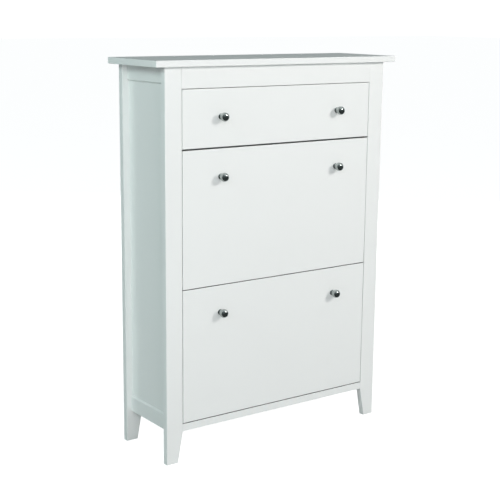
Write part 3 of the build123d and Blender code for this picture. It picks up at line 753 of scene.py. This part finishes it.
class CABINET_OT_knobs(bpy.types.Operator):
    """Turn and plate the six knobs"""
    bl_idname = "cabinet.knobs"
    bl_label = "Turn the Knobs"

    def execute(self, context):
        looks = context.scene.cabinet_knobs
        chrome = plating("polished chrome", looks.chrome, looks.polish, 0.05)
        foot = [(0.0, 0.0), (0.0080, 0.0), (0.0083, 0.0004), (0.0081, 0.0014)]
        neck = curve_points([(0.0081, 0.0014), (0.0060, 0.0030), (0.0046, 0.0060), (0.0046, 0.0088),
                             (0.0062, 0.0118)], 5)
        head = curve_points([(0.0062, 0.0118), (0.0106, 0.0136), (0.0124, 0.0172), (0.0125, 0.0222),
                             (0.0106, 0.0268), (0.0064, 0.0300), (0.0, 0.0310)], 6)
        for node, body in (("drawer_knobs", "drawer"), ("upper_flap_knobs", "upper_flap"),
                           ("lower_flap_knobs", "lower_flap")):
            low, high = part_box(node)
            for side, sign in SIDES.items():
                reach = (high.x - low.x) / 2 - (high.z - low.z) / 2
                centre = ((low.x + high.x) / 2 + sign * reach, high.y, (low.z + high.z) / 2)
                mesh = bmesh.new()
                lathe(mesh, foot + neck[1:] + head[1:], centre, (0, -1, 0), 56)
                knob = new_piece(f"{node[:-1]}_{side}", mesh, body, chrome)
                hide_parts(node)
        return {"FINISHED"}


class CABINET_OT_stage(bpy.types.Operator):
    """Lay the floor, hang the lights and set the camera"""
    bl_idname = "cabinet.stage"
    bl_label = "Set the Stage"

    def execute(self, context):
        stage = context.scene.cabinet_stage
        self.lay_floor(context, stage)
        self.hang_lights(context, stage)
        self.light_room(context, stage)
        self.set_camera(context, stage)
        context.scene.view_settings.view_transform = "Standard"
        return {"FINISHED"}

    def lay_floor(self, context, stage):
        """A wide pale floor, lifted to the white of the room for the camera alone."""
        mesh = bmesh.new()
        bmesh.ops.create_grid(mesh, x_segments=24, y_segments=24, size=stage.floor_size / 2)
        paper = Finish("pale floor", specular_ior_level=0.1)
        shade = paper.noise(paper.place(), 3.0, 2.0)
        grey = (0.455, 0.465, 0.465)
        paper.set("Base Color", paper.blend(shade, rgba(grey, 0.967), rgba(grey, 1.033)))
        paper.set("Roughness", 0.75 + shade * 0.1)
        seen = paper.node("ShaderNodeLightPath", output="Is Camera Ray")
        paper.set("Emission Color", paper.blend(seen, (0, 0, 0, 1), (1, 1, 1, 1)))
        paper.set("Emission Strength", stage.floor_lift)
        data = bpy.data.meshes.new("floor")
        mesh.to_mesh(data)
        mesh.free()
        data.materials.append(paper.material)
        floor = bpy.data.objects.new("floor", data)
        floor.visible_glossy = False
        context.collection.objects.link(floor)

    def hang_lights(self, context, stage):
        """Large soft lights and two cards that only gloss sees, all aimed at the cabinet's middle."""
        middle = (cad_low + cad_high) / 2
        warm, cool = (1.0, 0.94, 0.92), (0.95, 1.0, 1.0)
        for name, power, tint, size, place in (
                ("key", stage.key, warm, (0.9, 0.8), (1.6, -2.7, 2.2)),
                ("fill", stage.fill, (1.0, 0.965, 0.975), (3.2, 1.8), (-2.0, -3.7, 1.7)),
                ("side", stage.side, (0.80, 1.0, 0.965), (1.6, 1.2), (-3.9, -0.6, 2.55)),
                ("back", stage.back, (1.0, 0.99, 0.97), (2.4, 1.2), (2.7, 3.3, 1.4)),
                ("ceiling card", stage.cards * 2.5, cool, (3.0, 1.6), (0.3, -1.3, 3.4)),
                ("right card", stage.cards, cool, (1.0, 1.6), (3.2, -0.5, 1.2))):
            lamp = bpy.data.lights.new(name, "AREA")
            lamp.shape = "RECTANGLE"
            lamp.size, lamp.size_y = size
            lamp.energy = power
            lamp.color = tint
            holder = bpy.data.objects.new(name, lamp)
            holder.location = place
            holder.rotation_euler = (middle - holder.location).to_track_quat("-Z", "Y").to_euler()
            card = name.endswith("card")
            holder.visible_diffuse = not card
            holder.visible_glossy = card or name == "key"
            context.collection.objects.link(holder)

    def light_room(self, context, stage):
        """A pale room above the horizon and a dim one below it, plain white where the camera sees it."""
        dim_below, pale_above = -0.15, 0.35
        white = (1.1, 1.1, 1.1, 1.0)
        world = bpy.data.worlds.new("room")
        world.use_nodes = True
        air = Shading(world.node_tree)
        aim = air.node("ShaderNodeTexCoord", output="Generated")
        height = air.node("ShaderNodeSeparateXYZ", None, (aim,), output="Z")
        rise = air.node("ShaderNodeMapRange", {"interpolation_type": "SMOOTHSTEP"},
                        {"Value": height, "From Min": dim_below, "From Max": pale_above})
        room = air.blend(rise, (*stage.room_low, 1.0), (*stage.room_high, 1.0))
        seen = air.node("ShaderNodeLightPath", output="Is Camera Ray")
        air.join(air.blend(seen, room, white), air.tree.nodes["Background"].inputs["Color"])
        context.scene.world = world

    def set_camera(self, context, stage):
        """The camera to the left of the front, a little above the top."""
        back = Vector((-sin(stage.azimuth) * cos(stage.elevation),
                       -cos(stage.azimuth) * cos(stage.elevation), sin(stage.elevation)))
        right = Vector((cos(stage.azimuth), -sin(stage.azimuth), 0.0))
        up = back.cross(right)
        tipped_right = right * cos(stage.roll) + up * sin(stage.roll)
        tipped_up = up * cos(stage.roll) - right * sin(stage.roll)
        lens = bpy.data.cameras.new("camera")
        lens.lens = stage.lens
        lens.sensor_width = 36.0
        camera = bpy.data.objects.new("camera", lens)
        turn = Matrix((tipped_right, tipped_up, back)).transposed().to_4x4()
        camera.matrix_world = Matrix.Translation(Vector(stage.aim) + back * stage.distance) @ turn
        context.collection.objects.link(camera)
        context.scene.camera = camera


class CABINET_PT_panel(bpy.types.Panel):
    """The cabinet's settings and the steps that finish it"""
    bl_idname = "CABINET_PT_panel"
    bl_label = "Shoe Cabinet"
    bl_space_type = "VIEW_3D"
    bl_region_type = "UI"
    bl_category = "Cabinet"

    def draw(self, context):
        for name in GROUPS:
            group = getattr(context.scene, name)
            box = self.layout.box()
            for setting in group.__annotations__:
                box.prop(group, setting)
        for step in STEPS:
            self.layout.operator(step.bl_idname)


STEPS = (CABINET_OT_paint, CABINET_OT_boards, CABINET_OT_runners, CABINET_OT_fixings, CABINET_OT_heads,
         CABINET_OT_ribs, CABINET_OT_knobs, CABINET_OT_stage)
GROUPS = {"cabinet_paint": CabinetPaintSettings, "cabinet_knobs": CabinetKnobSettings,
          "cabinet_details": CabinetDetailSettings, "cabinet_stage": CabinetStageSettings}


def register():
    for cls in (*GROUPS.values(), *STEPS, CABINET_PT_panel):
        bpy.utils.register_class(cls)
    for name, group in GROUPS.items():
        setattr(bpy.types.Scene, name, bpy.props.PointerProperty(type=group))


def unregister():
    for name in GROUPS:
        delattr(bpy.types.Scene, name)
    for cls in reversed((*GROUPS.values(), *STEPS, CABINET_PT_panel)):
        bpy.utils.unregister_class(cls)


def main():
    register()
    for step in STEPS:
        family, action = step.bl_idname.split(".")
        getattr(getattr(bpy.ops, family), action)()


if __name__ == "__main__":
    main()
